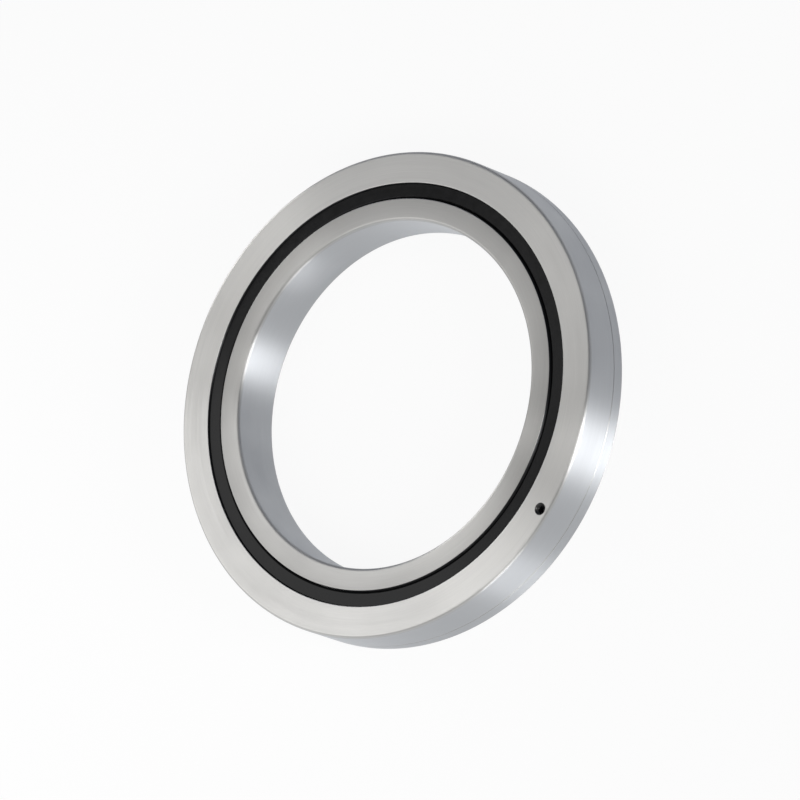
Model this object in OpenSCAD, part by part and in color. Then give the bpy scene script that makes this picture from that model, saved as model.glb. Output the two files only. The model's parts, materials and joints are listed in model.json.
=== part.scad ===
// Crossed roller bearing with a split outer ring, a one-piece inner ring and two rubber seals.
// It lies on its rear face: +Z runs along the bearing's axis, from the rear face to the front face,
// and the origin is the bearing's centre. Rollers cross one another at right angles, so that the
// single row carries radial, axial and tilting loads both ways.

/* [Boundary sizes] */
// Bore of the inner ring, which seats on the shaft
bore_d = 150; // [125:1:220]
// Radial height from the bore to the roller centres
inner_section = 13; // [11:0.25:20]
// Radial height from the roller centres to the outside, which seats in the housing
outer_section = 17; // [15:0.25:24]
// Width over the faces of both rings
width = 25; // [24:0.5:40]
// Radius of the corners at the bore and at the outside
corner_r = 1.5; // [0.5:0.1:1.8]
// Chamfer on the ring edges beside the seals
edge_break = 0.3; // [0.1:0.05:0.5]

/* [Rollers] */
// Roller diameter
roller_d = 11; // [9:0.25:12]
// How much shorter a roller is than its diameter, so that its ends run free
roller_short = 0.5; // [0.3:0.1:1.5]
// Chamfer on the roller ends
roller_chamfer = 0.5; // [0.2:0.1:1]
// Pairs of crossed rollers
roller_pairs = 20; // [12:1:22]
// Running clearance between a roller and the raceways
race_gap = 0.15; // [0.05:0.05:0.3]

/* [Separators] */
// How far a separator's wings reach round each roller, past the roller's nearest point
saddle_wrap = 1.8; // [0.6:0.1:3]
// Clearance between a separator and the rollers beside it
saddle_gap = 0.15; // [0.05:0.05:0.3]
// Clearance between a separator and the raceway flanks
flank_gap = 0.4; // [0.2:0.1:0.8]
// Height trimmed off each corner of a separator's square section
separator_trim = 0.9; // [0.4:0.1:1.5]

/* [Raceways] */
// Radial gap between the shoulders of the two rings
shoulder_gap = 2.4; // [1:0.1:3.5]
// Width of the relief slot at the bottom of each V
relief_w = 1.6; // [0.8:0.1:2.4]
// Depth of the relief slot past the corner of the V
relief_depth = 0.2; // [0.1:0.05:0.5]

/* [Split of the outer ring] */
// Thickness of the rear ring's flange at the outside
flange_t = 7; // [6:0.25:8]
// Wall of the rear ring's spigot, outside the relief slot
spigot_wall = 1.4; // [1:0.1:2]
// Clearance of the spigot in the front ring
spigot_gap = 0.05; // [0.02:0.01:0.2]
// Chamfer on both edges of the parting line
seam_chamfer = 0.25; // [0.1:0.05:0.5]

/* [Seals] */
// Radial width of the seal pocket at the faces
seal_band = 6.8; // [5.5:0.1:8]
// Depth of the seal pocket
pocket_depth = 3.4; // [3:0.1:4]
// Depth of the seal's top below the ring faces
seal_recess = 0.9; // [0.5:0.1:1.2]
// Depth of the groove that holds the seal's bead, into the outer ring
bead_depth = 0.8; // [0.4:0.1:1.2]
// Height of that groove above the pocket's floor
bead_h = 1.4; // [1:0.1:1.8]
// Running room between the seal's web and the step of the inner ring
web_room = 0.6; // [0.3:0.1:1]
// Clearance of the seal in its seat
seal_fit = 0.05; // [0.02:0.01:0.15]
// Running gap between the seal's lip and the inner ring
lip_gap = 0.2; // [0.1:0.05:0.4]
// Radial length of the sloping lip
lip_l = 1; // [0.6:0.1:1.6]
// Height of the lip's edge
lip_t = 0.5; // [0.3:0.1:0.8]
// Bevel on the seal's outer edge
seal_bevel = 0.4; // [0.2:0.1:0.6]

/* [Fixing screws] */
// Screws that hold the two halves of the outer ring together
screw_count = 3; // [2:1:5]
// Thread diameter
screw_d = 3; // [2:0.5:3]
// Length under the head
screw_l = 10; // [8:0.5:14]
// Head diameter
head_d = 5.5; // [4.5:0.1:5.5]
// Head height
head_h = 3; // [2:0.1:3.5]
// Depth of the head's top below the rear face
head_sink = 0.4; // [0.2:0.1:0.8]
// Width across the flats of the head's socket
head_key = 2.5; // [1.5:0.5:3]
// Depth of the head's socket
head_key_depth = 1.6; // [1:0.1:2]
// Chamfer on the head's top edge
head_chamfer = 0.3; // [0.1:0.05:0.5]
// Chamfer on the screw's tip
tip_chamfer = 0.4; // [0.2:0.1:0.6]
// Clearance of a screw in its hole
screw_gap = 0.1; // [0.05:0.05:0.2]
// Depth of the hole past the screw's tip
tip_room = 1.5; // [0.5:0.5:3]

/* [Grease port] */
// Diameter of the grease port in the front face
port_d = 4.8; // [3.5:0.1:5.5]
// Chamfer on the port's mouth
port_chamfer = 0.2; // [0.1:0.05:0.4]
// Passage from the port to the relief slot of the raceway
passage_d = 2; // [1:0.1:2.5]
// Length of the socket set screw that closes the port
plug_l = 5; // [3:0.5:7]
// Depth of the set screw below the front face
plug_sink = 2.2; // [1:0.1:4]
// Width across the flats of its socket
plug_key = 2.5; // [1.5:0.5:2.5]
// Depth of its socket
plug_key_depth = 2; // [1:0.1:2.5]
// Chamfer on both ends of the set screw
plug_chamfer = 0.5; // [0.2:0.1:0.8]
// Clearance of the set screw in the port
plug_gap = 0.05; // [0.02:0.01:0.1]
// Angle of the port about the axis, from +X
port_angle = -90; // [-180:1:180]

/* [Hidden] */
$fn = 96;
steel = "silver";
bright_steel = "gainsboro";
dark_steel = "dimgray";
rubber = [0.14, 0.14, 0.14];
plastic = "wheat";

// Faces and seats of the rings
face_z = width / 2;
floor_z = face_z - pocket_depth;
seam_z = flange_t - face_z;
bore_r = bore_d / 2;
pitch_r = bore_r + inner_section;
outer_r = pitch_r + outer_section;

// The raceways form a square channel that stands on its corner round the pitch circle
roller_l = roller_d - roller_short;
flank_r = roller_d / 2 + race_gap;
apex_reach = flank_r * sqrt(2);
outer_apex = pitch_r + apex_reach;
inner_apex = pitch_r - apex_reach;
outer_shoulder = pitch_r + shoulder_gap / 2;
inner_shoulder = pitch_r - shoulder_gap / 2;
shoulder_z = apex_reach - shoulder_gap / 2;
relief_z = relief_w / 2;
outer_relief = outer_apex + relief_depth;
inner_relief = inner_apex - relief_depth;

// Rollers stand at equal steps and cross alternately
roller_count = 2 * roller_pairs;
step = 360 / roller_count;
half_chord = pitch_r * sin(step / 2);
separator_l = 2 * (half_chord - roller_d / 2 + saddle_wrap);

// The spigot of the rear ring centres the front ring
spigot_r = outer_relief + spigot_wall;

// Seal pockets lie about the pitch circle
seal_outer = pitch_r + seal_band / 2;
seal_inner = pitch_r - seal_band / 2;
seal_top = face_z - seal_recess;
web_bottom = floor_z + web_room;
lip_r = seal_inner + lip_gap;
lip_middle = (seal_top + web_bottom) / 2;

// Screws and the grease port share one circle, midway across the flange
hole_circle = (spigot_r + spigot_gap + outer_r - corner_r) / 2;
head_depth = head_h + head_sink;
screw_tip_z = head_depth + screw_l - face_z;
port_floor_z = -passage_d;
drill_point_l = port_d / 2 * tan(31);
cut = 0.5;

function roller_name(i) = str("roller_", i < 10 ? "0" : "", i);
function roller_angle(i) = (i - 1) * step;
function roller_tilt(i) = i % 2 == 1 ? 45 : -45;
function across_flats(key) = key / cos(30);

// Takes a ring's square corner at (r, z) to a round one. out and up say which way it points.
module round_corner(r, z, out, up) {
    translate([r - out * corner_r, z - up * corner_r])
        difference() {
            translate([min(out, 0) * corner_r, min(up, 0) * corner_r])
                square(corner_r);
            circle(corner_r);
        }
}

// The outer ring's inside from the mid-plane to the face: relief slot, flank, shoulder and seal seat.
// up is 1 for the front half and -1 for the rear half.
function outer_inside(up) = [
    [outer_relief, up * relief_z],
    [outer_apex - relief_z, up * relief_z],
    [outer_shoulder, up * shoulder_z],
    [outer_shoulder, up * floor_z],
    [seal_outer + bead_depth, up * floor_z],
    [seal_outer + bead_depth, up * (floor_z + bead_h)],
    [seal_outer, up * (floor_z + bead_h)],
    [seal_outer, up * (face_z - edge_break)],
    [seal_outer + edge_break, up * face_z]
];

// The inner ring's outside, in the same order
function inner_outside(up) = [
    [inner_relief, up * relief_z],
    [inner_apex + relief_z, up * relief_z],
    [inner_shoulder, up * shoulder_z],
    [inner_shoulder, up * floor_z],
    [seal_inner, up * floor_z],
    [seal_inner, up * (face_z - edge_break)],
    [seal_inner - edge_break, up * face_z]
];

function turned_over(points) = [for (i = [len(points) - 1 : -1 : 0]) points[i]];

// The front half owns the raceway's front flank and most of the outside
module front_ring_section() {
    difference() {
        polygon(concat(
            outer_inside(1),
            [
                [outer_r, face_z],
                [outer_r, seam_z + seam_chamfer],
                [outer_r - seam_chamfer, seam_z],
                [spigot_r + spigot_gap, seam_z],
                [spigot_r + spigot_gap, 0],
                [outer_relief, 0]
            ]
        ));
        round_corner(outer_r, face_z, 1, 1);
    }
}

// The rear half has a flange at the outside and a spigot that reaches up to the mid-plane
module rear_ring_section() {
    difference() {
        polygon(concat(
            outer_inside(-1),
            [
                [outer_r, -face_z],
                [outer_r, seam_z - seam_chamfer],
                [outer_r - seam_chamfer, seam_z],
                [spigot_r, seam_z],
                [spigot_r, -spigot_gap],
                [outer_relief, -spigot_gap]
            ]
        ));
        round_corner(outer_r, -face_z, 1, -1);
    }
}

module inner_ring_section() {
    difference() {
        polygon(concat(
            turned_over(inner_outside(-1)),
            inner_outside(1),
            [
                [bore_r, face_z],
                [bore_r, -face_z]
            ]
        ));
        round_corner(bore_r, face_z, -1, 1);
        round_corner(bore_r, -face_z, -1, -1);
    }
}

// A bead in the outer ring's groove, a flat web and a lip that slopes to the inner ring
module seal_section() {
    polygon([
        [outer_shoulder, floor_z],
        [seal_outer + bead_depth - seal_fit, floor_z],
        [seal_outer + bead_depth - seal_fit, floor_z + bead_h - seal_fit],
        [seal_outer - seal_fit, floor_z + bead_h - seal_fit],
        [seal_outer - seal_fit, seal_top - seal_bevel],
        [seal_outer - seal_fit - seal_bevel, seal_top],
        [lip_r + lip_l, seal_top],
        [lip_r, lip_middle + lip_t / 2],
        [lip_r, lip_middle - lip_t / 2],
        [lip_r + lip_l, web_bottom],
        [outer_shoulder, web_bottom]
    ]);
}

// Puts children on the circle of screws and port, at an angle about the axis
module on_hole_circle(angle) {
    rotate([0, 0, angle])
        translate([hole_circle, 0, 0])
            children();
}

module at_screws() {
    for (i = [0 : screw_count - 1])
        on_hole_circle(port_angle + (i + 0.5) * 360 / screw_count)
            children();
}

// Room for one fixing screw, from the rear face to past its tip
module screw_room() {
    translate([0, 0, -face_z - cut])
        cylinder(d = head_d + 2 * screw_gap, h = head_depth + cut);
    translate([0, 0, -face_z])
        cylinder(d = screw_d + 2 * screw_gap, h = screw_tip_z + face_z + tip_room);
}

// The grease port, drilled from the front face to below the passage, with a chamfered mouth
module port_room() {
    mouth_h = port_chamfer + cut;
    translate([0, 0, face_z - port_chamfer])
        cylinder(d1 = port_d, d2 = port_d + 2 * mouth_h, h = mouth_h);
    translate([0, 0, port_floor_z])
        cylinder(d = port_d, h = face_z - port_floor_z + cut);
    translate([0, 0, port_floor_z - drill_point_l])
        cylinder(d1 = 0, d2 = port_d, h = drill_point_l);
}

// The passage runs in the mid-plane, half of it as a groove over the spigot
module passage_room() {
    rotate([0, 0, port_angle])
        translate([outer_shoulder, 0, 0])
            rotate([0, 90, 0])
                cylinder(d = passage_d, h = hole_circle - outer_shoulder);
}

module outer_ring_front() {
    color(steel)
        difference() {
            rotate_extrude() front_ring_section();
            on_hole_circle(port_angle) port_room();
            passage_room();
            at_screws() screw_room();
        }
}

module outer_ring_rear() {
    color(steel)
        difference() {
            rotate_extrude() rear_ring_section();
            at_screws() screw_room();
        }
}

module inner_ring() {
    color(steel) rotate_extrude() inner_ring_section();
}

module seal_front() {
    color(rubber) rotate_extrude() seal_section();
}

module seal_rear() {
    color(rubber) mirror([0, 0, 1]) rotate_extrude() seal_section();
}

module roller_place(i) {
    rotate([0, 0, roller_angle(i)])
        translate([pitch_r, 0, 0])
            rotate([0, roller_tilt(i), 0])
                children();
}

module roller(i) {
    r = roller_d / 2;
    top = roller_l / 2;
    color(bright_steel)
        roller_place(i)
            rotate_extrude()
                polygon([
                    [0, -top],
                    [r - roller_chamfer, -top],
                    [r, -top + roller_chamfer],
                    [r, top - roller_chamfer],
                    [r - roller_chamfer, top],
                    [0, top]
                ]);
}

// A square block that stands on its corner in the raceway, with its corners trimmed
module separator_blank() {
    side = 2 * (flank_r - flank_gap);
    reach = side / sqrt(2) - separator_trim;
    rotate([90, 0, 0])
        linear_extrude(height = separator_l, center = true)
            intersection() {
                rotate(45) square(side, center = true);
                square(2 * reach, center = true);
            }
}

// One separator follows each roller. The two saddles in its faces cross, as the rollers do.
module separator(i) {
    difference() {
        rotate([0, 0, roller_angle(i) + step / 2])
            translate([pitch_r, 0, 0])
                separator_blank();
        for (beside = [i, i + 1])
            roller_place(beside)
                cylinder(d = roller_d + 2 * saddle_gap, h = 2 * roller_d, center = true);
    }
}

module separators() {
    color(plastic)
        for (i = [1 : roller_count])
            separator(i);
}

module socket_room(key, depth) {
    translate([0, 0, -depth])
        cylinder(d = across_flats(key), h = depth + cut, $fn = 6);
}

// A socket head cap screw, head down in the rear face
module fixing_screw() {
    head_r = head_d / 2;
    shank_r = screw_d / 2;
    tip = -head_h - screw_l;
    translate([0, 0, head_sink - face_z])
        mirror([0, 0, 1])
            difference() {
                rotate_extrude()
                    polygon([
                        [0, tip],
                        [shank_r - tip_chamfer, tip],
                        [shank_r, tip + tip_chamfer],
                        [shank_r, -head_h],
                        [head_r, -head_h],
                        [head_r, -head_chamfer],
                        [head_r - head_chamfer, 0],
                        [0, 0]
                    ]);
                socket_room(head_key, head_key_depth);
            }
}

module fixing_screws() {
    color(dark_steel) at_screws() fixing_screw();
}

// A socket set screw with its socket towards the front face
module grease_plug() {
    r = port_d / 2 - plug_gap;
    color(dark_steel)
        on_hole_circle(port_angle)
            translate([0, 0, face_z - plug_sink])
                difference() {
                    rotate_extrude()
                        polygon([
                            [0, -plug_l],
                            [r - plug_chamfer, -plug_l],
                            [r, -plug_l + plug_chamfer],
                            [r, -plug_chamfer],
                            [r - plug_chamfer, 0],
                            [0, 0]
                        ]);
                    socket_room(plug_key, plug_key_depth);
                }
}

outer_ring_front();
outer_ring_rear();
inner_ring();
seal_front();
seal_rear();
separators();
fixing_screws();
grease_plug();
for (i = [1 : roller_count])
    roller(i);
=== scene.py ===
"""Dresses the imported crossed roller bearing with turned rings, seals, screws, finishes and a studio."""

import json
import math
from typing import NamedTuple

import bmesh
import bpy
from bpy.props import FloatProperty, FloatVectorProperty, PointerProperty
from bpy.types import Operator, Panel, PropertyGroup
from mathutils import Matrix, Vector


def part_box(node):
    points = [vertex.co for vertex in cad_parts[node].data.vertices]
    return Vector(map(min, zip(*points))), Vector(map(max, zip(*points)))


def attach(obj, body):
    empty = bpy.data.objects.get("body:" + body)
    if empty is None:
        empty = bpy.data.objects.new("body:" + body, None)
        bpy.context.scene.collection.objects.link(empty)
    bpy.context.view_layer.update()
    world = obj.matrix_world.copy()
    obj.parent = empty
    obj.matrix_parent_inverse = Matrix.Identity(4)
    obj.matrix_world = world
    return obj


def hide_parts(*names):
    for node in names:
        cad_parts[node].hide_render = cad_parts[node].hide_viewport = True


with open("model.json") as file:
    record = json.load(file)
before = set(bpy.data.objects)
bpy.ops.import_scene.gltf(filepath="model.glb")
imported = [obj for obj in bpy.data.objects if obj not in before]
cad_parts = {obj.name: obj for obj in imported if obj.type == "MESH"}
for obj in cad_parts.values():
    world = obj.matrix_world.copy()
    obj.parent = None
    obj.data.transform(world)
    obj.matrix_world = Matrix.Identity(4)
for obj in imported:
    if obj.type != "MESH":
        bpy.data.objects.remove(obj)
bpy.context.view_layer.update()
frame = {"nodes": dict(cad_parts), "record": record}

bl_info = {
    "name": "Crossed Roller Bearing",
    "version": (1, 0, 0),
    "blender": (4, 5, 0),
    "location": "View3D > Sidebar > Bearing",
    "description": "Builds the rings, seals, screws and finishes of a crossed roller bearing",
    "category": "Object",
}

MM = 0.001

# Sizes that the frame gives
MOUNT_R = {mount["name"]: mount["dims"].get("r_mm", 0) * MM for mount in frame["record"]["mounts"]}
BORE_R = MOUNT_R["shaft_bore"]
OUTER_R = MOUNT_R["housing_seat"]
FACE_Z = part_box("inner_ring")[1].z
INNER_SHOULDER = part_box("inner_ring")[1].x
SEAM_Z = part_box("outer_ring_front")[0].z
FLOOR_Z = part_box("seal_front")[0].z
SEAL_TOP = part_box("seal_front")[1].z
PLUG_LOW, PLUG_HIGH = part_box("grease_plug")
SCREW_LOW, SCREW_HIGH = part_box("fixing_screws")
HOLE_CIRCLE = -(PLUG_LOW.y + PLUG_HIGH.y) / 2
PLUG_R = (PLUG_HIGH.x - PLUG_LOW.x) / 2
PORT_TURN = math.radians(-90)
SCREW_COUNT = 3
ROLLERS = sorted(name for name in frame["nodes"] if name.startswith("roller_"))

# Mesh fineness
RING_STEPS = 384
CORNER_STEPS = 8
EDGE_STEPS = 3
ROD_STEPS = 48
THREAD_ROWS = 10
HEX_SIDES = 6
GUARD = 0.08 * MM
MERGE = 0.0005 * MM
SHARP_ANGLE = math.radians(32)

# Threads, as shares of the pitch and of the thread's depth, and drilled holes
THREAD_DEPTH = 0.54
THREAD_FLANK = 1.7
THREAD_FLAT = 0.35
DRILL_POINT = math.radians(31)
DRILL_TIP_R = 0.05 * MM
CUT_PAST = 1.0 * MM

# Grinding marks: how they mix, and where corners and walls begin, by how far a surface faces up
MARK_SLOPE = 1.7
MARK_ROUGH = 0.6
FINE_SHARE = 0.5
BROAD_SHARE = 0.35
CLOUD_SHARE = 0.15
BROAD_RELIEF = 0.4
GRIT_RELIEF = 0.5
ROUGH_SWING = 0.05
MOTTLE = (0.94, 1.06)
CORNER_LEAN = (0.02, 0.12)
LINE_LEAN = (0.60, 0.80)
WALL_LEAN = (0.50, 0.95)
RIM_FADE = 1.5
WALL_FADE = 2.0
ACROSS_MARKS = 0.25

# Ranges of one noise, of two added, and of the noises in the rubber's bloom and the oxide's patches
NOISE_RANGE = (0.3, 0.7)
SUM_RANGE = (0.7, 1.3)
BLOOM_RANGE = (0.35, 0.75)
PATCH_RANGE = (0.35, 0.7)

# The floor, the film, the point that the camera aims at, and the heights where the room's light changes
FLOOR_R = 6.0
FLOOR_STEPS = 128
FLOOR_WHITE = (0.9, 0.9, 0.9, 1)
PLAIN_WHITE = (1, 1, 1, 1)
FILM_W = 36
VIEW_END = 100
VIEW_AIM = Vector((1.958, -8.757, 11.4)) * MM
RIM_TO_SKY = (0.05, 0.9)
COOL_TO_SHADE = (0.3, 0.7)

# The room's shaded side: its direction in degrees, and where it begins
COOL_TURN = 18.9
COOL_EDGE = (0.10, 0.50)


def length(name, text, default):
    """A size in metres."""
    return FloatProperty(name=name, description=text, default=default, unit="LENGTH", precision=5)


def turn(name, text, degrees):
    """An angle."""
    return FloatProperty(name=name, description=text, default=math.radians(degrees), subtype="ANGLE")


def share(name, text, default):
    """A number from 0 to 1."""
    return FloatProperty(name=name, description=text, default=default, min=0, max=1, subtype="FACTOR")


def strength(name, text, default):
    """The radiance of a lamp, where 1 shows as white."""
    return FloatProperty(name=name, description=text, default=default, min=0)


def colour(name, text, default):
    """A linear colour."""
    return FloatVectorProperty(
        name=name, description=text, default=default, subtype="COLOR", size=3, min=0, max=1
    )


class BearingSizes(PropertyGroup):
    """Sizes of the rings and seals."""

    bore_r: length("Bore", "Radius of the inner ring's bore", BORE_R)
    outer_r: length("Outside", "Radius of the outer ring's outside", OUTER_R)
    face_z: length("Face", "Height of the ring faces above the middle", FACE_Z)
    corner_r: length("Corner", "Radius of the corners at bore and outside", 1.5 * MM)
    edge_r: length("Edge", "Radius of the ring edges beside the seals", 0.3 * MM)
    seam_z: length("Seam", "Height of the parting line of the outer ring", SEAM_Z)
    seam_chamfer: length("Seam chamfer", "Chamfer on both edges of the parting line", 0.25 * MM)
    spigot_wall: length("Spigot wall", "Wall of the rear ring's spigot outside the relief slot", 1.4 * MM)
    spigot_gap: length("Spigot gap", "Clearance of the spigot in the front ring", 0.05 * MM)
    shoulder_gap: length("Shoulder gap", "Radial gap between the shoulders of the rings", 2.4 * MM)
    race_reach: length("Raceway", "Reach of the raceway's corners from the pitch circle", 7.99 * MM)
    relief_w: length("Relief width", "Width of the slot at the bottom of each raceway", 1.6 * MM)
    relief_depth: length("Relief depth", "Depth of that slot past the raceway's corner", 0.2 * MM)
    seal_band: length("Seal band", "Radial width of the seal pocket", 6.8 * MM)
    floor_z: length("Pocket floor", "Height of the seal pocket's floor", FLOOR_Z)
    bead_depth: length("Bead groove", "Depth of the groove that holds the seal's bead", 0.8 * MM)
    bead_h: length("Bead height", "Height of that groove", 1.4 * MM)
    seal_top: length("Seal top", "Height of the seal's top face", SEAL_TOP)
    seal_fit: length("Seal fit", "Clearance of the seal in its seat", 0.05 * MM)
    web_room: length("Web room", "Room under the seal's web", 0.6 * MM)
    lip_gap: length("Lip gap", "Running gap of the seal's lip", 0.2 * MM)
    lip_l: length("Lip length", "Radial length of the sloping lip", 1.0 * MM)
    lip_t: length("Lip edge", "Height of the lip's edge", 0.5 * MM)
    seal_bevel: length("Seal bevel", "Bevel on the seal's outer edge", 0.4 * MM)


class ScrewSizes(PropertyGroup):
    """Sizes of the fixing screws, the grease port and its plug."""

    screw_r: length("Screw", "Radius of a fixing screw's thread", 1.5 * MM)
    screw_pitch: length("Screw pitch", "Pitch of that thread", 0.5 * MM)
    head_r: length("Head", "Radius of a screw's head", 2.75 * MM)
    head_h: length("Head height", "Height of a screw's head", 3.0 * MM)
    head_chamfer: length("Head chamfer", "Chamfer on the head's top edge", 0.3 * MM)
    head_key: length("Head key", "Width across the flats of the head's socket", 2.5 * MM)
    head_key_depth: length("Head socket", "Depth of the head's socket", 1.6 * MM)
    screw_gap: length("Screw gap", "Clearance of a screw in its hole", 0.1 * MM)
    tip_room: length("Tip room", "Depth of the hole past the screw's tip", 1.5 * MM)
    tip_chamfer: length("Tip chamfer", "Chamfer on a screw's tip", 0.4 * MM)
    plug_r: length("Plug", "Radius of the grease plug's thread", PLUG_R)
    plug_pitch: length("Plug pitch", "Pitch of that thread", 0.8 * MM)
    plug_key: length("Plug key", "Width across the flats of the plug's socket", 2.5 * MM)
    plug_key_depth: length("Plug socket", "Depth of the plug's socket", 2.0 * MM)
    plug_chamfer: length("Plug chamfer", "Chamfer on the plug's ends", 0.5 * MM)
    plug_gap: length("Plug gap", "Clearance of the plug in the port", 0.05 * MM)
    port_chamfer: length("Port chamfer", "Chamfer on the port's mouth", 0.2 * MM)
    port_floor: length("Port floor", "Height of the port's drilled floor", -2.0 * MM)
    passage_r: length("Passage", "Radius of the grease passage", 1.0 * MM)


class Finishes(PropertyGroup):
    """Colours and finishes."""

    ring_steel: colour("Ring steel", "Ground steel of the ring faces", (0.672, 0.664, 0.645))
    ring_rough: share("Ring roughness", "Roughness of the ground faces", 0.36)
    side_rough: share("Side roughness", "Roughness of the ground outside and bore", 0.43)
    corner_rough: share("Corner roughness", "Roughness of the rounded corners", 0.40)
    # The two corner tones paint shade: a dark line on the corners that stands in for their dark
    # reflection.
    corner_painted_shade: share("Corner tone", "Tone of the painted_dark corners, against the faces", 0.92)
    corner_line_painted_shade: share("Corner line tone", "Tone of the corners beside the faces, against the rest", 0.82)
    ring_grain: share("Ring grain", "How far the grinding marks stretch the reflections", 0.97)
    # Darker and bluer than the ring steel: partly the sides' own grind and partly painted shade.
    side_steel_and_shade: colour("Side steel", "Ground steel of the outside and the bore", (0.480, 0.494, 0.514))
    # These two tones paint shade on the inner ring's face, darker towards the seal.
    bore_edge_painted_shade: share("Bore edge tone", "Tone of the inner ring's face beside the bore", 0.86)
    seal_edge_painted_shade: share("Seal edge tone", "Tone of the inner ring's face beside the seal", 0.69)
    # These two tones paint shade on the seal pocket's walls and in the grease port.
    wall_painted_shade: share("Pocket wall tone", "Tone of the greasy walls beside the seals", 0.12)
    port_painted_shade: share("Port tone", "Tone of the greasy tapped port, against the faces", 0.12)
    roller_steel: colour("Roller steel", "Lapped steel of the rollers", (0.66, 0.66, 0.66))
    seal_rubber: colour("Seal rubber", "Black rubber of the seals", (0.003, 0.003, 0.0033))
    separator_nylon: colour("Separator nylon", "Natural nylon of the separators", (0.66, 0.50, 0.26))
    screw_black: colour("Screw steel", "Black oxide on the screws and the plug", (0.035, 0.035, 0.038))


class StudioSettings(PropertyGroup):
    """The camera, the floor and the lamps."""

    view_turn: turn("View turn", "Direction of the camera about the axis, from +X", -77.1)
    view_rise: turn("View rise", "Height of the camera above the faces", 52.4)
    view_roll: turn("View roll", "Roll of the camera about its line of sight", 69.9)
    view_distance: length("View distance", "Distance from the camera to its aim", 3.3668)
    view_lens: FloatProperty(name="Lens", description="Focal length", default=360, unit="CAMERA")
    floor_glow: share("Floor glow", "Share of plain white in the floor's colour", 0.90)
    key_light: strength("Key light", "Softbox behind the bearing, which the faces mirror", 1.40)
    right_light: strength("Right light", "Softbox overhead on the side of the bright faces", 1.22)
    left_light: strength("Left light", "Softbox overhead on the other side", 0.78)
    front_light: strength("Front light", "Strip in front, which streaks outside and bore", 11.8)
    side_light: strength("Side light", "Low strip at the side, which streaks outside and faces", 12.4)
    fill_light: strength("Fill light", "Low panel behind the bearing, opposite the camera", 3.40)
    rim_light: colour("Rim light", "Light of the room near the floor", (0.95, 0.95, 0.95))
    sky_light: colour("Sky light", "Light of the room overhead", (0.26, 0.26, 0.26))
    cool_light: colour("Cool light", "Light of the room's shaded side near the floor", (0.08, 0.11, 0.19))
    shade_light: colour("Shade light", "Light overhead on that side", (0.21, 0.21, 0.21))


class Lamp(NamedTuple):
    """Place and size of a soft panel that faces the bearing: angles in degrees, the rest in metres."""

    name: str
    turn: float
    rise: float
    distance: float
    width: float
    tall: float


LAMPS = {
    "key_light": Lamp("key_panel", turn=140.9, rise=38.0, distance=0.40, width=0.40, tall=0.40),
    "right_light": Lamp("right_panel", turn=-149.1, rise=60.0, distance=0.40, width=0.36, tall=0.24),
    "left_light": Lamp("left_panel", turn=32.9, rise=66.0, distance=0.50, width=0.44, tall=0.26),
    "front_light": Lamp("front_panel", turn=-70.1, rise=14.0, distance=1.50, width=0.50, tall=0.75),
    "side_light": Lamp("side_panel", turn=-124.1, rise=4.0, distance=1.50, width=0.50, tall=0.22),
    "fill_light": Lamp("fill_panel", turn=92.9, rise=14.0, distance=1.50, width=0.42, tall=0.72),
}


def toward(swing, rise):
    """The unit vector at an angle about the axis and a height above the floor, in degrees."""
    swing = math.radians(swing)
    rise = math.radians(rise)
    return Vector((math.cos(swing) * math.cos(rise), math.sin(swing) * math.cos(rise), math.sin(rise)))


def fillet(before, corner, after, radius, steps):
    """Points of a round corner between two lines at right angles, with a guard point beyond each end."""
    start = (Vector(before) - Vector(corner)).normalized()
    end = (Vector(after) - Vector(corner)).normalized()
    centre = Vector(corner) + (start + end) * radius
    points = [Vector(corner) + start * (radius + GUARD)]
    for step in range(steps + 1):
        swing = math.pi / 2 * step / steps
        points.append(centre - (end * math.cos(swing) + start * math.sin(swing)) * radius)
    points.append(Vector(corner) + end * (radius + GUARD))
    return [tuple(point) for point in points]


def turned(name, outline, steps, closed=True):
    """A solid of revolution about Z from (radius, height) points; an open outline ends on the axis."""
    count = len(outline)
    sides = count if closed else count - 1
    points = []
    faces = []
    for step in range(steps):
        swing = 2 * math.pi * step / steps
        points += [(r * math.cos(swing), r * math.sin(swing), z) for r, z in outline]
        here = step * count
        there = (step + 1) % steps * count
        for side in range(sides):
            beside = (side + 1) % count
            faces.append((here + side, there + side, there + beside, here + beside))
    return solid(name, points, faces)


def threaded(name, rows, steps):
    """A solid rod about Z from rows of (height, radius at each swing), closed by flat ends."""
    points = []
    for height, radius_at in rows:
        for step in range(steps):
            swing = 2 * math.pi * step / steps
            radius = radius_at(swing)
            points.append((radius * math.cos(swing), radius * math.sin(swing), height))
    faces = []
    for row in range(len(rows) - 1):
        for step in range(steps):
            here = row * steps + step
            there = row * steps + (step + 1) % steps
            faces.append((here, there, there + steps, here + steps))
    faces.append(tuple(range(steps)))
    faces.append(tuple(range((len(rows) - 1) * steps, len(rows) * steps)))
    return solid(name, points, faces)


def solid(name, points, faces):
    """A new object with a closed mesh whose faces point out."""
    mesh = bpy.data.meshes.new(name)
    mesh.from_pydata(points, [], faces)
    cleaned(mesh)
    piece = bpy.data.objects.new(name, mesh)
    bpy.context.scene.collection.objects.link(piece)
    return piece


def cleaned(mesh):
    """Merges points that lie together and turns all faces outward."""
    build = bmesh.new()
    build.from_mesh(mesh)
    bmesh.ops.remove_doubles(build, verts=build.verts, dist=MERGE)
    bmesh.ops.dissolve_degenerate(build, dist=MERGE, edges=build.edges)
    bmesh.ops.recalc_face_normals(build, faces=build.faces)
    build.to_mesh(mesh)
    build.free()


def cut(piece, cutters):
    """Takes the cutters away from a piece and removes them."""
    for cutter in cutters:
        modifier = piece.modifiers.new("Cut", "BOOLEAN")
        modifier.operation = "DIFFERENCE"
        modifier.solver = "EXACT"
        modifier.object = cutter
    shaped = piece.evaluated_get(bpy.context.evaluated_depsgraph_get())
    piece.data = bpy.data.meshes.new_from_object(shaped)
    piece.modifiers.clear()
    cleaned(piece.data)
    for cutter in cutters:
        bpy.data.objects.remove(cutter)


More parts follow.
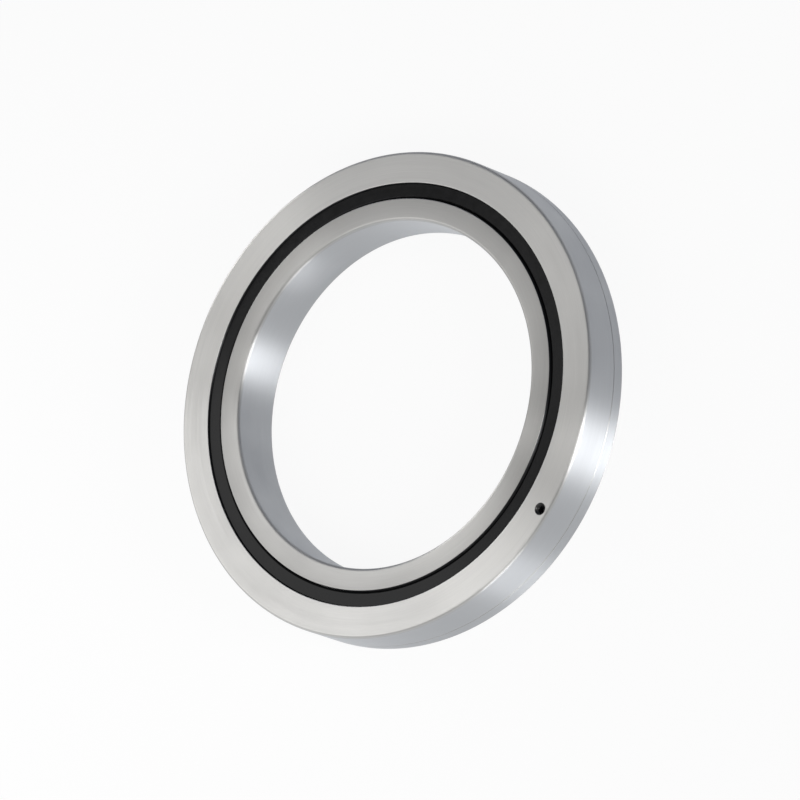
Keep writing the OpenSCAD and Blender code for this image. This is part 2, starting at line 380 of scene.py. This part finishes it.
def placed(piece, swing, height=0.0, flipped=False):
    """Moves a rod's mesh to the circle of screws and port, at an angle about the axis."""
    place = Matrix.Rotation(swing, 4, "Z") @ Matrix.Translation((HOLE_CIRCLE, 0, height))
    if flipped:
        place = place @ Matrix.Rotation(math.pi, 4, "X")
    piece.data.transform(place)
    return piece


def dressed(piece, material, body, slot, *nodes):
    """Shades a finished piece, gives it its material and lets it ride in place of CAD nodes."""
    piece.data.name = piece.name
    piece.data.shade_smooth()
    piece.data.set_sharp_from_angle(angle=SHARP_ANGLE)
    piece.data.materials.clear()
    piece.data.materials.append(material)
    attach(piece, body)
    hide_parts(*nodes)


def screw_turns():
    """Angles of the fixing screws about the axis."""
    return [PORT_TURN + (i + 0.5) * 2 * math.pi / SCREW_COUNT for i in range(SCREW_COUNT)]


def pitch_r(sizes):
    """Radius of the circle through the roller centres."""
    return INNER_SHOULDER + sizes.shoulder_gap / 2


def outer_inside(sizes, up):
    """The outer ring's inside from the relief slot to the face; up is 1 in front and -1 at the rear."""
    pitch = pitch_r(sizes)
    apex = pitch + sizes.race_reach
    shoulder = pitch + sizes.shoulder_gap / 2
    seat = pitch + sizes.seal_band / 2
    groove = seat + sizes.bead_depth
    bead_top = sizes.floor_z + sizes.bead_h
    slot_z = sizes.relief_w / 2
    face = (seat, sizes.face_z)
    outline = [
        (apex + sizes.relief_depth, slot_z),
        (apex - slot_z, slot_z),
        (shoulder, sizes.race_reach - sizes.shoulder_gap / 2),
        (shoulder, sizes.floor_z),
        (groove, sizes.floor_z),
        (groove, bead_top),
        (seat, bead_top),
    ]
    outline += fillet((seat, bead_top), face, (sizes.outer_r, sizes.face_z), sizes.edge_r, EDGE_STEPS)
    return [(r, up * z) for r, z in outline]


def outer_corner(sizes, up):
    """The round corner between the outer ring's face and its outside."""
    seat = (pitch_r(sizes), sizes.face_z)
    corner = (sizes.outer_r, sizes.face_z)
    points = fillet(seat, corner, (sizes.outer_r, 0), sizes.corner_r, CORNER_STEPS)
    return [(r, up * z) for r, z in points]


def seam_edge(sizes, up):
    """The chamfered edge of one half at the parting line, from outside to inside."""
    return [
        (sizes.outer_r, sizes.seam_z + up * sizes.seam_chamfer),
        (sizes.outer_r - sizes.seam_chamfer, sizes.seam_z),
    ]


def front_half_outline(sizes):
    """Section of the outer ring's front half."""
    relief = pitch_r(sizes) + sizes.race_reach + sizes.relief_depth
    seat = relief + sizes.spigot_wall + sizes.spigot_gap
    inside = [(seat, sizes.seam_z), (seat, 0), (relief, 0)]
    return outer_inside(sizes, 1) + outer_corner(sizes, 1) + seam_edge(sizes, 1) + inside


def rear_half_outline(sizes):
    """Section of the outer ring's rear half, whose spigot reaches up to the middle."""
    relief = pitch_r(sizes) + sizes.race_reach + sizes.relief_depth
    seat = relief + sizes.spigot_wall
    inside = [(seat, sizes.seam_z), (seat, -sizes.spigot_gap), (relief, -sizes.spigot_gap)]
    return outer_inside(sizes, -1) + outer_corner(sizes, -1) + seam_edge(sizes, -1) + inside


def inner_ring_outline(sizes):
    """Section of the inner ring, from its front half and the mirror of that."""
    pitch = pitch_r(sizes)
    apex = pitch - sizes.race_reach
    seat = pitch - sizes.seal_band / 2
    slot_z = sizes.relief_w / 2
    outline = [
        (apex - sizes.relief_depth, slot_z),
        (apex + slot_z, slot_z),
        (INNER_SHOULDER, sizes.race_reach - sizes.shoulder_gap / 2),
        (INNER_SHOULDER, sizes.floor_z),
        (seat, sizes.floor_z),
    ]
    face = (seat, sizes.face_z)
    bore = (sizes.bore_r, sizes.face_z)
    outline += fillet((seat, 0), face, bore, sizes.edge_r, EDGE_STEPS)
    outline += fillet(face, bore, (sizes.bore_r, 0), sizes.corner_r, CORNER_STEPS)
    return outline + [(r, -z) for r, z in reversed(outline)]


def seal_outline(sizes, up):
    """Section of a seal: a bead in its groove, a flat web and a sloping lip."""
    pitch = pitch_r(sizes)
    seat = pitch + sizes.seal_band / 2 - sizes.seal_fit
    bead = seat + sizes.bead_depth
    bead_top = sizes.floor_z + sizes.bead_h - sizes.seal_fit
    lip = pitch - sizes.seal_band / 2 + sizes.lip_gap
    web = sizes.floor_z + sizes.web_room
    middle = (sizes.seal_top + web) / 2
    outline = [
        (pitch + sizes.shoulder_gap / 2, sizes.floor_z),
        (bead, sizes.floor_z),
        (bead, bead_top),
        (seat, bead_top),
    ]
    top = (seat, sizes.seal_top)
    outline += fillet((seat, 0), top, (lip, sizes.seal_top), sizes.seal_bevel, EDGE_STEPS)
    outline += [
        (lip + sizes.lip_l + GUARD, sizes.seal_top),
        (lip + sizes.lip_l, sizes.seal_top),
        (lip, middle + sizes.lip_t / 2),
        (lip, middle - sizes.lip_t / 2),
        (lip + sizes.lip_l, web),
        (pitch + sizes.shoulder_gap / 2, web),
    ]
    return [(r, up * z) for r, z in outline]


def thread_form(crest_r, depth, pitch, height):
    """Radius of a screw thread at one height, as a function of the swing about its axis."""

    def radius_at(swing):
        phase = (height / pitch - swing / (2 * math.pi)) % 1
        level = min(max(THREAD_FLANK * abs(2 * phase - 1) - THREAD_FLAT, 0), 1)
        return crest_r - depth * (1 - level)

    return radius_at


def limited(radius_at, most):
    """The same radius, but never over the most that a chamfer leaves."""
    return lambda swing: min(radius_at(swing), most)


def widened(radius_at, least):
    """The same radius, but never under the least that a countersink leaves."""
    return lambda swing: max(radius_at(swing), least)


def plain(radius):
    """A constant radius."""
    return lambda swing: radius


def thread_rows(crest_r, depth, pitch, low, high):
    """Rows of a threaded stretch, close enough to show the thread's flanks."""
    count = math.ceil((high - low) / pitch * THREAD_ROWS)
    heights = [low + (high - low) * row / count for row in range(count + 1)]
    return [(z, thread_form(crest_r, depth, pitch, z)) for z in heights]


def thread_depth(pitch):
    """Working depth of a metric thread."""
    return THREAD_DEPTH * pitch


def socket_cutter(key, depth, top):
    """A hexagon with a drilled point, which cuts a key socket down from a rod's top."""
    corner = key / 2 / math.cos(math.pi / HEX_SIDES)
    point = top - depth - key / 2 * math.tan(DRILL_POINT)
    outline = [(0, top + depth), (corner, top + depth), (corner, top - depth), (0, point)]
    return turned("socket", outline, HEX_SIDES, closed=False)


def screw_room(sizes, screws):
    """Cutter for one fixing screw's hole, from below the rear face to past the screw's tip."""
    shank = screws.screw_r + screws.screw_gap
    head = screws.head_r + screws.screw_gap
    head_floor = SCREW_LOW.z + screws.head_h
    end = SCREW_HIGH.z + screws.tip_room
    below = -sizes.face_z - CUT_PAST
    outline = [(0, below), (head, below), (head, head_floor), (shank, head_floor), (shank, end), (0, end)]
    return turned("screw_room", outline, ROD_STEPS, closed=False)


def port_room(sizes, screws):
    """Cutter for the threaded grease port, with a countersunk mouth and a drilled point."""
    port_r = screws.plug_r + screws.plug_gap
    depth = thread_depth(screws.plug_pitch)
    above = sizes.face_z + screws.port_chamfer
    rows = []
    for z, radius_at in thread_rows(port_r, depth, screws.plug_pitch, screws.port_floor, above):
        rows.append((z, widened(radius_at, port_r + screws.port_chamfer + z - sizes.face_z)))
    point = screws.port_floor - (port_r - depth) * math.tan(DRILL_POINT)
    rows.insert(0, (point, plain(DRILL_TIP_R)))
    return threaded("port_room", rows, ROD_STEPS)


def passage_room(sizes, screws):
    """Cutter for the grease passage, which runs in the middle plane from raceway to port."""
    start = pitch_r(sizes)
    outline = [(0, start), (screws.passage_r, start), (screws.passage_r, HOLE_CIRCLE), (0, HOLE_CIRCLE)]
    passage = turned("passage_room", outline, ROD_STEPS // 2, closed=False)
    lying = Matrix.Rotation(PORT_TURN, 4, "Z") @ Matrix.Rotation(math.pi / 2, 4, "Y")
    passage.data.transform(lying)
    return passage


class NodeBench:
    """Adds nodes to one shader tree and links them."""

    def __init__(self, tree):
        self.tree = tree
        tree.nodes.clear()

    def add(self, kind, inputs=None, **settings):
        """A node with its settings, and with values or links on its inputs."""
        node = self.tree.nodes.new(kind)
        for name, value in settings.items():
            setattr(node, name, value)
        for key, value in (inputs or {}).items():
            if isinstance(value, bpy.types.NodeSocket):
                self.tree.links.new(value, node.inputs[key])
            else:
                node.inputs[key].default_value = value
        return node

    def math(self, operation, *values):
        """The result of a Math node."""
        return self.add("ShaderNodeMath", dict(enumerate(values)), operation=operation).outputs[0]

    def vector(self, operation, *values):
        """The vector result of a Vector Math node."""
        return self.add("ShaderNodeVectorMath", dict(enumerate(values)), operation=operation).outputs[0]

    def scale(self, vector, factor):
        """A colour or vector times a number."""
        return self.add("ShaderNodeVectorMath", {0: vector, "Scale": factor}, operation="SCALE").outputs[0]

    def reach(self, vector):
        """The length of a vector."""
        return self.add("ShaderNodeVectorMath", {0: vector}, operation="LENGTH").outputs["Value"]

    def height(self, vector):
        """The Z of a vector."""
        return self.add("ShaderNodeSeparateXYZ", {0: vector}).outputs["Z"]

    def place(self):
        """The place on the surface, in metres."""
        return self.add("ShaderNodeTexCoord").outputs["Object"]

    def noise(self, vector, detail, roughness=0.5):
        """A noise value over a vector that is already scaled."""
        inputs = {"Vector": vector, "Scale": 1.0, "Detail": detail, "Roughness": roughness}
        return self.add("ShaderNodeTexNoise", inputs).outputs["Fac"]

    def speckle(self, place, per_metre, detail, drawn=1.0):
        """Noise with so many spots to the metre, and drawn times as many along Z."""
        spots = (per_metre, per_metre, per_metre * drawn)
        return self.noise(self.vector("MULTIPLY", place, spots), detail)

    def bump(self, relief, strength, distance):
        """A normal that a relief of so many metres tilts."""
        inputs = {"Height": relief, "Strength": strength, "Distance": distance}
        return self.add("ShaderNodeBump", inputs).outputs[0]

    def round_tangent(self):
        """The direction round the bearing's axis."""
        return self.add("ShaderNodeTangent", direction_type="RADIAL", axis="Z").outputs[0]

    def fit(self, value, low, high, start=0.0, end=1.0, smooth=False):
        """A value from start to end, mapped to low to high and held there."""
        inputs = {"Value": value, "From Min": start, "From Max": end, "To Min": low, "To Max": high}
        form = "SMOOTHSTEP" if smooth else "LINEAR"
        return self.add("ShaderNodeMapRange", inputs, interpolation_type=form).outputs[0]

    def blend(self, factor, first, second):
        """A mix of two colours; the Mix node's colour sockets have no names of their own."""
        return self.add("ShaderNodeMix", {0: factor, 6: first, 7: second}, data_type="RGBA").outputs[2]


def new_finish(name):
    """A material with an empty tree and its bench."""
    material = bpy.data.materials.new(name)
    material.use_nodes = True
    return material, NodeBench(material.node_tree)


def surface(bench, inputs):
    """The Principled shader of a finish, joined to the material's output."""
    shader = bench.add("ShaderNodeBsdfPrincipled", inputs)
    bench.add("ShaderNodeOutputMaterial", {"Surface": shader.outputs[0]})


def tinted(base, factor=1.0):
    """A linear colour made lighter or darker, with alpha."""
    return tuple(min(part * factor, 1) for part in base) + (1,)


def mottled(bench, noise, base, dark, light, spread=NOISE_RANGE):
    """A colour that a noise takes from a darker to a lighter tint, each a factor on it."""
    return bench.blend(bench.fit(noise, 0, 1, *spread), tinted(base, dark), tinted(base, light))


def round_marks(bench):
    """Coordinates that follow the marks of turning and grinding: along them, and across them in metres."""
    place = bench.place()
    flat = bench.vector("MULTIPLY", place, (1, 1, 0))
    along = bench.vector("NORMALIZE", flat)
    radius = bench.reach(flat)
    across = bench.math("MULTIPLY_ADD", bench.height(place), MARK_SLOPE, radius)
    return place, along, across, radius


def mark_noise(bench, along, across, per_metre, per_turn, detail):
    """Noise drawn out into arcs: so many marks to the metre, and so many changes along a turn."""
    depth = bench.add("ShaderNodeCombineXYZ", {"Z": bench.math("MULTIPLY", across, per_metre)}).outputs[0]
    drawn = bench.vector("MULTIPLY", along, (per_turn, per_turn, 0))
    return bench.noise(bench.vector("ADD", drawn, depth), detail, MARK_ROUGH)


def near_circle(bench, radius, circle, width, fade):
    """1 within a width of a circle about the axis, and 0 from fade times that width on."""
    away = bench.math("ABSOLUTE", bench.math("SUBTRACT", radius, circle))
    return bench.fit(away, 1, 0, width, fade * width)


def ground_steel(name, finishes, rim, wall, face_painted_shade=None, port_r=0.0):
    """Ground bearing steel: circular marks that stretch the light, and corners at the rim with their own
    roughness and painted shade.

    The rim is its radius and its corner's width, and the wall is the seal pocket's radius and its edge.
    The face's painted shade runs between two radii, and the pocket's wall and the port get painted shade.
    """
    material, bench = new_finish(name)
    place, along, across, radius = round_marks(bench)
    fine = mark_noise(bench, along, across, per_metre=5200, per_turn=4.0, detail=2.0)
    broad = mark_noise(bench, along, across, per_metre=640, per_turn=1.6, detail=3.0)
    cloud = bench.speckle(place, per_metre=38, detail=3.0)
    mixed = bench.math("MULTIPLY_ADD", fine, FINE_SHARE, bench.math("MULTIPLY", broad, BROAD_SHARE))
    tone = bench.math("MULTIPLY_ADD", cloud, CLOUD_SHARE, mixed)
    mottle = bench.fit(tone, *MOTTLE, *NOISE_RANGE)
    # Painted shade across the face between two radii, where one is given.
    face_level = bench.math("MULTIPLY", mottle, bench.fit(radius, *face_painted_shade)) if face_painted_shade else mottle
    normal = bench.add("ShaderNodeTexCoord").outputs["Normal"]
    facing = bench.math("ABSOLUTE", bench.height(normal))
    # The sides' colour is darker than the faces', partly as painted shade.
    sides = bench.scale(finishes.side_steel_and_shade, mottle)
    base = bench.blend(facing, sides, bench.scale(finishes.ring_steel, face_level))
    near_rim = near_circle(bench, radius, *rim, RIM_FADE)
    lean = bench.math("MULTIPLY", facing, bench.math("SUBTRACT", near_rim, facing))
    corner = bench.fit(lean, 0, 1, *CORNER_LEAN, smooth=True)
    # Painted shade darkens the corners, and more so the line beside the faces.
    base = bench.scale(base, bench.fit(corner, 1, finishes.corner_painted_shade))
    line = bench.math("MULTIPLY", corner, bench.fit(facing, 0, 1, *LINE_LEAN))
    base = bench.scale(base, bench.fit(line, 1, finishes.corner_line_painted_shade))
    # Painted shade on the steep walls beside the seal pocket.
    steep = bench.fit(facing, 1, 0, *WALL_LEAN)
    shade_painted = bench.math("MULTIPLY", steep, near_circle(bench, radius, *wall, WALL_FADE))
    base = bench.scale(base, bench.fit(shade_painted, 1, finishes.wall_painted_shade))
    # Painted shade in the grease port and on its mouth.
    if port_r:
        from_port = bench.vector("SUBTRACT", place, (0, -HOLE_CIRCLE, 0))
        reach = bench.reach(bench.vector("MULTIPLY", from_port, (1, 1, 0)))
        base = bench.scale(base, bench.fit(reach, finishes.port_painted_shade, 1, port_r, port_r + GUARD))
    uneven = bench.fit(bench.math("ADD", broad, cloud), -ROUGH_SWING, ROUGH_SWING, *SUM_RANGE)
    rough = bench.fit(facing, finishes.side_rough, finishes.ring_rough)
    relief = bench.math("MULTIPLY_ADD", broad, BROAD_RELIEF, fine)
    surface(bench, {
        "Base Color": base,
        "Metallic": 1.0,
        "Roughness": bench.math("ADD", bench.fit(corner, rough, finishes.corner_rough), uneven),
        "Anisotropic": finishes.ring_grain,
        "Anisotropic Rotation": ACROSS_MARKS,
        "Tangent": bench.round_tangent(),
        "Normal": bench.bump(relief, strength=0.06, distance=0.05 * MM),
    })
    return material


def moulded_rubber(finishes):
    """Satin black rubber with faint rings from its mould and a little bloom."""
    material, bench = new_finish("seal_rubber")
    place, along, across, _radius = round_marks(bench)
    rings = mark_noise(bench, along, across, per_metre=3400, per_turn=2.0, detail=2.0)
    bloom = bench.speckle(place, per_metre=260, detail=4.0)
    grit = bench.speckle(place, per_metre=5200, detail=2.0)
    relief = bench.math("MULTIPLY_ADD", grit, GRIT_RELIEF, rings)
    surface(bench, {
        "Base Color": mottled(bench, bloom, finishes.seal_rubber, 0.85, 1.5, BLOOM_RANGE),
        "Roughness": bench.fit(bench.math("ADD", rings, bloom), 0.17, 0.25, *SUM_RANGE),
        "Specular IOR Level": 0.28,
        "Anisotropic": 0.92,
        "Anisotropic Rotation": ACROSS_MARKS,
        "Tangent": bench.round_tangent(),
        "Normal": bench.bump(relief, strength=0.10, distance=0.05 * MM),
    })
    return material


def black_oxide(finishes):
    """Blackened screw steel with an oily, slightly uneven coat."""
    material, bench = new_finish("screw_steel")
    place = bench.place()
    patches = bench.speckle(place, per_metre=900, detail=3.0)
    grit = bench.speckle(place, per_metre=6500, detail=2.0)
    surface(bench, {
        "Base Color": mottled(bench, patches, finishes.screw_black, 0.7, 1.6, PATCH_RANGE),
        "Metallic": 0.85,
        "Roughness": bench.fit(patches, 0.28, 0.46, *NOISE_RANGE),
        "Normal": bench.bump(grit, strength=0.12, distance=0.03 * MM),
    })
    return material


def lapped_steel(finishes):
    """Bright lapped steel with hair-fine marks and a film of grease."""
    material, bench = new_finish("roller_steel")
    place = bench.place()
    hair = bench.speckle(place, per_metre=900, detail=2.0, drawn=10.0)
    film = bench.speckle(place, per_metre=220, detail=3.0)
    surface(bench, {
        "Base Color": mottled(bench, hair, finishes.roller_steel, 0.95, 1.05),
        "Metallic": 1.0,
        "Roughness": bench.fit(film, 0.12, 0.24, *NOISE_RANGE),
        "Normal": bench.bump(hair, strength=0.04, distance=0.02 * MM),
    })
    return material


def moulded_nylon(finishes):
    """Natural nylon, waxy and a little mottled."""
    material, bench = new_finish("separator_plastic")
    place = bench.place()
    clouds = bench.speckle(place, per_metre=420, detail=4.0)
    grain = bench.speckle(place, per_metre=4200, detail=2.0)
    surface(bench, {
        "Base Color": mottled(bench, clouds, finishes.separator_nylon, 0.88, 1.1),
        "Roughness": bench.fit(clouds, 0.42, 0.58, *NOISE_RANGE),
        "Subsurface Weight": 0.25,
        "Subsurface Radius": (1.2 * MM, 0.8 * MM, 0.4 * MM),
        "Subsurface Scale": 1.0,
        "Normal": bench.bump(grain, strength=0.10, distance=0.03 * MM),
    })
    return material


class BEARING_OT_outer_ring(Operator):
    """Turn both halves of the outer ring, drill them and finish them in ground steel"""

    bl_idname = "bearing.outer_ring"
    bl_label = "Outer Ring"

    def execute(self, context):
        sizes = context.scene.bearing_sizes
        screws = context.scene.bearing_screws
        finishes = context.scene.bearing_finishes
        port_r = screws.plug_r + screws.plug_gap + screws.port_chamfer
        rim = (sizes.outer_r, sizes.corner_r)
        wall = (pitch_r(sizes) + sizes.seal_band / 2, sizes.edge_r)
        drilled_steel = ground_steel("front_half_steel", finishes, rim, wall, port_r=port_r)
        plain_steel = ground_steel("rear_half_steel", finishes, rim, wall)
        front = turned("ring_front", front_half_outline(sizes), RING_STEPS)
        rooms = [placed(screw_room(sizes, screws), swing) for swing in screw_turns()]
        cut(front, [placed(port_room(sizes, screws), PORT_TURN), passage_room(sizes, screws)] + rooms)
        dressed(front, drilled_steel, "outer_ring", "ring_steel", "outer_ring_front")
        rear = turned("ring_rear", rear_half_outline(sizes), RING_STEPS)
        cut(rear, [placed(screw_room(sizes, screws), swing) for swing in screw_turns()])
        dressed(rear, plain_steel, "outer_ring", "ring_steel", "outer_ring_rear")
        return {"FINISHED"}


class BEARING_OT_inner_ring(Operator):
    """Turn the one-piece inner ring and finish it in ground steel"""

    bl_idname = "bearing.inner_ring"
    bl_label = "Inner Ring"

    def execute(self, context):
        sizes = context.scene.bearing_sizes
        finishes = context.scene.bearing_finishes
        ring = turned("ring_inner", inner_ring_outline(sizes), RING_STEPS)
        seal_edge = pitch_r(sizes) - sizes.seal_band / 2
        # Painted shade on the face, darker towards the seal than beside the bore.
        tone = (finishes.bore_edge_painted_shade, finishes.seal_edge_painted_shade, sizes.bore_r, seal_edge)
        rim = (sizes.bore_r, sizes.corner_r)
        steel = ground_steel("inner_ring_steel", finishes, rim, (seal_edge, sizes.edge_r), tone)
        dressed(ring, steel, "inner_ring", "ring_steel", "inner_ring")
        return {"FINISHED"}


class BEARING_OT_seals(Operator):
    """Mould the two lip seals"""

    bl_idname = "bearing.seals"
    bl_label = "Seals"

    def execute(self, context):
        sizes = context.scene.bearing_sizes
        rubber = moulded_rubber(context.scene.bearing_finishes)
        for side, up in (("front", 1), ("rear", -1)):
            seal = turned(f"lip_seal_{side}", seal_outline(sizes, up), RING_STEPS)
            dressed(seal, rubber, "outer_ring", "seal_rubber", f"seal_{side}")
        return {"FINISHED"}


class BEARING_OT_fixing_screws(Operator):
    """Make the cap screws that hold the outer ring's halves together"""

    bl_idname = "bearing.fixing_screws"
    bl_label = "Fixing Screws"

    def execute(self, context):
        screws = context.scene.bearing_screws
        black = black_oxide(context.scene.bearing_finishes)
        made = [self.one_screw(screws, swing) for swing in screw_turns()]
        joined = made[0]
        with context.temp_override(active_object=joined, selected_editable_objects=made):
            bpy.ops.object.join()
        joined.name = "cap_screws"
        dressed(joined, black, "outer_ring", "screw_steel", "fixing_screws")
        return {"FINISHED"}

    @staticmethod
    def one_screw(screws, swing):
        """One cap screw, head down at the rear."""
        total = SCREW_HIGH.z - SCREW_LOW.z
        depth = thread_depth(screws.screw_pitch)
        shank_end = total - screws.head_h
        rows = []
        for z, radius_at in thread_rows(screws.screw_r, depth, screws.screw_pitch, 0, shank_end):
            rows.append((z, limited(radius_at, screws.screw_r - screws.tip_chamfer + z)))
        rows.append((shank_end, plain(screws.head_r)))
        rows.append((total - screws.head_chamfer, plain(screws.head_r)))
        rows.append((total, plain(screws.head_r - screws.head_chamfer)))
        rod = threaded("cap_screw", rows, ROD_STEPS)
        cut(rod, [socket_cutter(screws.head_key, screws.head_key_depth, total)])
        return placed(rod, swing, SCREW_HIGH.z, flipped=True)


class BEARING_OT_grease_plug(Operator):
    """Make the socket set screw that closes the grease port"""

    bl_idname = "bearing.grease_plug"
    bl_label = "Grease Plug"

    def execute(self, context):
        screws = context.scene.bearing_screws
        depth = thread_depth(screws.plug_pitch)
        start = screws.plug_r - screws.plug_chamfer
        rows = []
        for z, radius_at in thread_rows(screws.plug_r, depth, screws.plug_pitch, PLUG_LOW.z, PLUG_HIGH.z):
            from_end = min(z - PLUG_LOW.z, PLUG_HIGH.z - z)
            rows.append((z, limited(radius_at, start + from_end)))
        plug = threaded("set_screw", rows, ROD_STEPS)
        cut(plug, [socket_cutter(screws.plug_key, screws.plug_key_depth, PLUG_HIGH.z)])
        placed(plug, PORT_TURN)
        black = black_oxide(context.scene.bearing_finishes)
        dressed(plug, black, "outer_ring", "screw_steel", "grease_plug")
        return {"FINISHED"}


class BEARING_OT_rolling_parts(Operator):
    """Finish the rollers in lapped steel and the separators in nylon"""

    bl_idname = "bearing.rolling_parts"
    bl_label = "Rollers and Separators"

    def execute(self, context):
        finishes = context.scene.bearing_finishes
        steel = lapped_steel(finishes)
        for name in ROLLERS:
            self.refinish(name, steel)
        self.refinish("separators", moulded_nylon(finishes))
        return {"FINISHED"}

    @staticmethod
    def refinish(node, material):
        """Gives a CAD node that shows as it is a better material."""
        mesh = frame["nodes"][node].data
        mesh.materials.clear()
        mesh.materials.append(material)


class BEARING_OT_stage(Operator):
    """Set up the floor, the lamps, the room and the camera"""

    bl_idname = "bearing.stage"
    bl_label = "Studio"

    def execute(self, context):
        studio = context.scene.bearing_studio
        self.floor(studio)
        for setting, lamp in LAMPS.items():
            self.panel(lamp, getattr(studio, setting))
        self.room(context.scene, studio)
        self.camera(context.scene, studio)
        context.scene.view_settings.view_transform = "Standard"
        return {"FINISHED"}

    @staticmethod
    def floor(studio):
        """A wide white floor that shows plain white but keeps the object's shadow."""
        build = bmesh.new()
        bmesh.ops.create_circle(build, cap_ends=True, segments=FLOOR_STEPS, radius=FLOOR_R)
        mesh = bpy.data.meshes.new("floor")
        build.to_mesh(mesh)
        build.free()
        ground = bpy.data.objects.new("floor", mesh)
        ground.location.z = -FACE_Z
        bpy.context.scene.collection.objects.link(ground)
        material, bench = new_finish("floor_white")
        matte = bench.add("ShaderNodeBsdfDiffuse", {"Color": FLOOR_WHITE})
        glow = bench.add("ShaderNodeEmission", {"Color": PLAIN_WHITE, "Strength": 1.0})
        path = bench.add("ShaderNodeLightPath")
        seen = bench.math("MAXIMUM", path.outputs["Is Camera Ray"], path.outputs["Is Glossy Ray"])
        seen = bench.math("MAXIMUM", seen, path.outputs["Is Transmission Ray"])
        amount = bench.math("MULTIPLY", seen, studio.floor_glow)
        mixed = bench.add("ShaderNodeMixShader", {0: amount, 1: matte.outputs[0], 2: glow.outputs[0]})
        bench.add("ShaderNodeOutputMaterial", {"Surface": mixed.outputs[0]})
        mesh.materials.append(material)

    @staticmethod
    def panel(lamp, level):
        """A soft panel that faces the bearing and lights from its front only."""
        across = lamp.width / 2
        up = lamp.tall / 2
        corners = [(-across, -up, 0), (across, -up, 0), (across, up, 0), (-across, up, 0)]
        mesh = bpy.data.meshes.new(lamp.name)
        mesh.from_pydata(corners, [], [(0, 1, 2, 3)])
        panel = bpy.data.objects.new(lamp.name, mesh)
        bpy.context.scene.collection.objects.link(panel)
        away = toward(lamp.turn, lamp.rise)
        panel.location = away * lamp.distance
        panel.rotation_euler = (-away).to_track_quat("Z", "Y").to_euler()
        panel.visible_camera = False
        panel.visible_shadow = False
        material, bench = new_finish(lamp.name)
        glow = bench.add("ShaderNodeEmission", {"Color": PLAIN_WHITE, "Strength": level})
        clear = bench.add("ShaderNodeBsdfTransparent")
        behind = bench.add("ShaderNodeNewGeometry").outputs["Backfacing"]
        mixed = bench.add("ShaderNodeMixShader", {0: behind, 1: glow.outputs[0], 2: clear.outputs[0]})
        bench.add("ShaderNodeOutputMaterial", {"Surface": mixed.outputs[0]})
        mesh.materials.append(material)

    @staticmethod
    def room(scene, studio):
        """A pale room: light near the floor, greyer overhead and cool on one side."""
        world = bpy.data.worlds.new("studio_room")
        world.use_nodes = True
        scene.world = world
        bench = NodeBench(world.node_tree)
        gaze = bench.add("ShaderNodeTexCoord").outputs["Generated"]
        height = bench.height(gaze)
        rise = bench.fit(height, 0, 1, *RIM_TO_SKY, smooth=True)
        plain_room = bench.blend(rise, tinted(studio.rim_light), tinted(studio.sky_light))
        cool_way = tuple(toward(COOL_TURN, 0.0))
        facing = bench.add("ShaderNodeVectorMath", {0: gaze, 1: cool_way}, operation="DOT_PRODUCT")
        cool = bench.fit(facing.outputs["Value"], 0, 1, *COOL_EDGE, smooth=True)
        lift = bench.fit(height, 0, 1, *COOL_TO_SHADE, smooth=True)
        cool_room = bench.blend(lift, tinted(studio.cool_light), tinted(studio.shade_light))
        shown = bench.blend(cool, plain_room, cool_room)
        back = bench.add("ShaderNodeBackground", {"Color": shown, "Strength": 1.0})
        bench.add("ShaderNodeOutputWorld", {"Surface": back.outputs[0]})

    @staticmethod
    def camera(scene, studio):
        """A long lens at the photograph's angle."""
        lens = bpy.data.cameras.new("camera")
        lens.lens = studio.view_lens
        lens.sensor_width = FILM_W
        lens.clip_end = VIEW_END
        eye = bpy.data.objects.new("camera", lens)
        scene.collection.objects.link(eye)
        away = toward(math.degrees(studio.view_turn), math.degrees(studio.view_rise))
        upright = away.to_track_quat("Z", "Y").to_matrix().to_4x4()
        roll = Matrix.Rotation(-studio.view_roll, 4, "Z")
        eye.matrix_world = Matrix.Translation(VIEW_AIM + away * studio.view_distance) @ upright @ roll
        scene.camera = eye


class BEARING_PT_sidebar(Panel):
    """Lists the bearing's pieces and settings"""

    bl_idname = "BEARING_PT_sidebar"
    bl_label = "Crossed Roller Bearing"
    bl_space_type = "VIEW_3D"
    bl_region_type = "UI"
    bl_category = "Bearing"

    def draw(self, context):
        for operator in OPERATORS:
            self.layout.operator(operator.bl_idname)
        for group in SETTINGS:
            box = self.layout.box()
            settings = getattr(context.scene, group)
            for name in settings.__annotations__:
                box.prop(settings, name)


SETTINGS = {
    "bearing_sizes": BearingSizes,
    "bearing_screws": ScrewSizes,
    "bearing_finishes": Finishes,
    "bearing_studio": StudioSettings,
}
OPERATORS = (
    BEARING_OT_outer_ring,
    BEARING_OT_inner_ring,
    BEARING_OT_seals,
    BEARING_OT_fixing_screws,
    BEARING_OT_grease_plug,
    BEARING_OT_rolling_parts,
    BEARING_OT_stage,
)
CLASSES = (*SETTINGS.values(), *OPERATORS, BEARING_PT_sidebar)


def register():
    """Registers the classes and hangs the settings on the scene."""
    for item in CLASSES:
        bpy.utils.register_class(item)
    for name, group in SETTINGS.items():
        setattr(bpy.types.Scene, name, PointerProperty(type=group))


def unregister():
    """Takes the settings and the classes away again."""
    for name in SETTINGS:
        delattr(bpy.types.Scene, name)
    for item in reversed(CLASSES):
        bpy.utils.unregister_class(item)


def main():
    """Builds the whole bearing in its studio."""
    register()
    bpy.ops.bearing.outer_ring()
    bpy.ops.bearing.inner_ring()
    bpy.ops.bearing.seals()
    bpy.ops.bearing.fixing_screws()
    bpy.ops.bearing.grease_plug()
    bpy.ops.bearing.rolling_parts()
    bpy.ops.bearing.stage()


if __name__ == "__main__":
    main()
